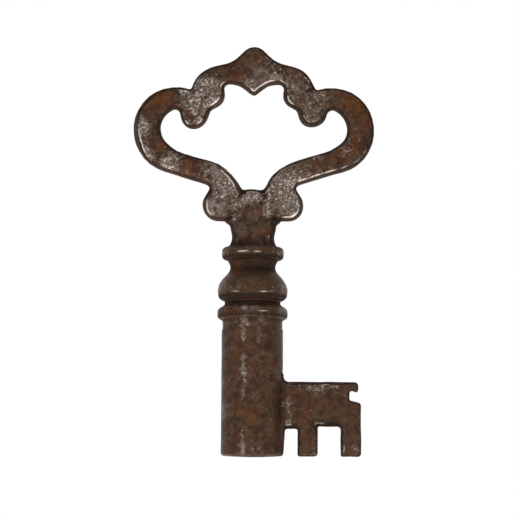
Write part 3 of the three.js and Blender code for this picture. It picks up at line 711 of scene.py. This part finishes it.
def tongue_cutter():
    """A closed solid round the stem: the tongue's outline let through the bow, and all that lies below."""
    stem = copy_in_mm("stem")
    places, _ = arrays(stem.data)
    drop(stem)
    tongue = [Vector((x, z)) for x, _, z in places if z > bow_base - BASE_MARGIN]
    ring = [tongue[i] for i in convex_hull_2d(tongue)]
    middle = sum(ring, Vector((0, 0))) / len(ring)
    ring = [middle + (p - middle) * TONGUE_MARGIN for p in ring]
    side, wide = max(p.x for p in ring), CUTTER_HALF_WIDTH
    base = bow_base - CUT_BELOW
    top = sorted((p for p in ring if p.y > base + SHOULDER), key=lambda p: -p.x)
    outline = [(-wide, 0), (wide, 0), (wide, base), (side, base), *top, (-side, base), (-wide, base)]
    return lofted("cutter", [[(x, y, z) for x, z in outline] for y in CUTTER_DEPTHS])


def nose_pad():
    """A round pad that rounds the tongue's nose off to the arc it shows between the arms."""
    rise = [i * math.pi / (2 * PAD_EDGE_STEPS) for i in range(PAD_EDGE_STEPS + 1)]
    radii = [PAD_RADIUS - PAD_EDGE * (1 - math.sin(a)) for a in rise]
    depths = [PAD_HALF_DEPTH - PAD_EDGE * (1 - math.cos(a)) for a in rise]
    profile = [*zip(radii, (-depth for depth in depths)), *zip(reversed(radii), reversed(depths))]
    turns = [2 * math.pi * i / PAD_SIDES for i in range(PAD_SIDES)]
    x0, z0 = PAD_CENTRE
    rings = [[(x0 + r * math.cos(a), y, z0 + r * math.sin(a)) for a in turns] for r, y in profile]
    return lofted("pad", rings)


def cut(mesh, cutter, operation):
    """A part of a worn skin, with the skin's own wear and shading right up to the cut."""
    body = linked("cutting", mesh)
    modifier = body.modifiers.new("cut", "BOOLEAN")
    modifier.object = cutter
    modifier.operation = operation
    modifier.solver = "MANIFOLD"
    made = evaluated(body)
    bpy.data.objects.remove(body)
    places, _ = arrays(mesh)
    tree = tree_of(places)
    nearest = np.array([tree.find(place)[1] for place in arrays(made)[0]])
    for name in WEAR_LAYERS:
        values = np.empty(len(places), np.float32)
        mesh.attributes[name].data.foreach_get("value", values)
        made.attributes.remove(made.attributes[name])
        keep(made, name, values[nearest])
    return made, normals(mesh)[nearest]


def bow_and_stem():
    """The bow and the stem as one forged skin, then parted along the sides of the tongue."""
    skin = remeshed("bow_and_stem", [copy_in_mm("bow"), copy_in_mm("stem", STEM_GROWTH), nose_pad()])
    worn(skin, ["bow", "stem"], plate=True)
    cutter = tongue_cutter()
    for name, operation in (("bow", "DIFFERENCE"), ("stem", "INTERSECT")):
        mesh, shading = cut(skin, cutter, operation)
        finish_piece(name, mesh, shading)
    drop(cutter)


def single(name, plate=False, raised=0.0):
    """A piece with a skin of its own. Raising its top a little closes most of the seam above it."""
    copy = copy_in_mm(name, SKIN_GROWTH)
    if raised:
        places, _ = arrays(copy.data)
        places[places[:, 2] > places[:, 2].max() - TOP_ZONE, 2] += raised
        put(copy.data, places)
    finish_piece(name, worn(remeshed(name, [copy]), [name], plate))


materials = {name: iron(name + "_iron", smoothness) for name, smoothness in SMOOTHNESS.items()}
bow_and_stem()
for collar in ("upper_collar", "baluster", "lower_collar"):
    single(collar)
single("barrel", raised=0.2)
single("bit", plate=True, raised=0.18)


# Studio: white surroundings, a pale floor and three soft lamps, two of which shine up through the floor

WHITE = (1, 1, 1, 1)
WORLD_LEVEL = 0.3
FLOOR_HALF = 1500.0
FLOOR_COLOUR = (0.85, 0.85, 0.85, 1)
FLOOR_GLOW = 0.4
LAMPS = (  # name, azimuth and rise in degrees, distance and size in millimetres, power in watts
    ("left_lamp", -34, -38, 260, 80, 0.27),
    ("right_lamp", 26, -38, 260, 80, 0.23),
    ("top_lamp", 15, 62, 320, 200, 0.12),
)


def make_world():
    """Lights the key at the world's plain level, and shows white to the camera and in reflections."""
    world = bpy.data.worlds.new("world")
    bpy.context.scene.world = world
    t = Tree(world)
    path = t.add("ShaderNodeLightPath").outputs
    shown = t.math("MAXIMUM", path["Is Camera Ray"], path["Is Glossy Ray"])
    shown = t.math("MAXIMUM", shown, path["Is Transmission Ray"])
    strength = t.scaled(shown, 1 - WORLD_LEVEL, WORLD_LEVEL)
    surround = t.add("ShaderNodeBackground", {"Color": WHITE, "Strength": strength})
    t.add("ShaderNodeOutputWorld", {"Surface": surround.outputs[0]})


def make_lamp(name, azimuth, rise, distance, size, power):
    """A soft square lamp aimed at the key's middle. Azimuth 0 is in front, and turns to the right."""
    data = bpy.data.lights.new(name, "AREA")
    data.size = size * MM
    data.energy = power
    lamp = linked(name, data)
    turn, up = math.radians(azimuth), math.radians(rise)
    away = Vector((math.sin(turn) * math.cos(up), -math.cos(turn) * math.cos(up), math.sin(up)))
    lamp.location = (Vector((0, 0, VIEW_CENTRE[2])) + away * distance) * MM
    lamp.rotation_euler = away.to_track_quat("Z", "Y").to_euler()


def make_floor():
    """A pale floor that glows a little for the camera, keeps the key's shadow, and is clear from below."""
    mesh = bpy.data.meshes.new("floor")
    half = FLOOR_HALF * MM
    corners = [(-half, -half, 0), (half, -half, 0), (half, half, 0), (-half, half, 0)]
    mesh.from_pydata(corners, [], [(0, 1, 2, 3)])
    floor = linked("floor", mesh)
    material = bpy.data.materials.new("floor")
    t = Tree(material)
    matt = t.add("ShaderNodeBsdfDiffuse", {"Color": FLOOR_COLOUR})
    path = t.add("ShaderNodeLightPath").outputs
    glow = t.add("ShaderNodeEmission", {"Strength": t.scaled(path["Is Camera Ray"], FLOOR_GLOW)})
    pale = t.add("ShaderNodeAddShader", {0: matt.outputs[0], 1: glow.outputs[0]})
    clear = t.add("ShaderNodeBsdfTransparent")
    below = t.add("ShaderNodeNewGeometry").outputs["Backfacing"]
    both = t.add("ShaderNodeMixShader", {0: below, 1: pale.outputs[0], 2: clear.outputs[0]})
    t.add("ShaderNodeOutputMaterial", {"Surface": both.outputs[0]})
    mesh.materials.append(material)
    floor.visible_shadow = False
    floor.visible_glossy = False


make_world()
for lamp in LAMPS:
    make_lamp(*lamp)
make_floor()

bpy.context.scene.view_settings.view_transform = "Standard"
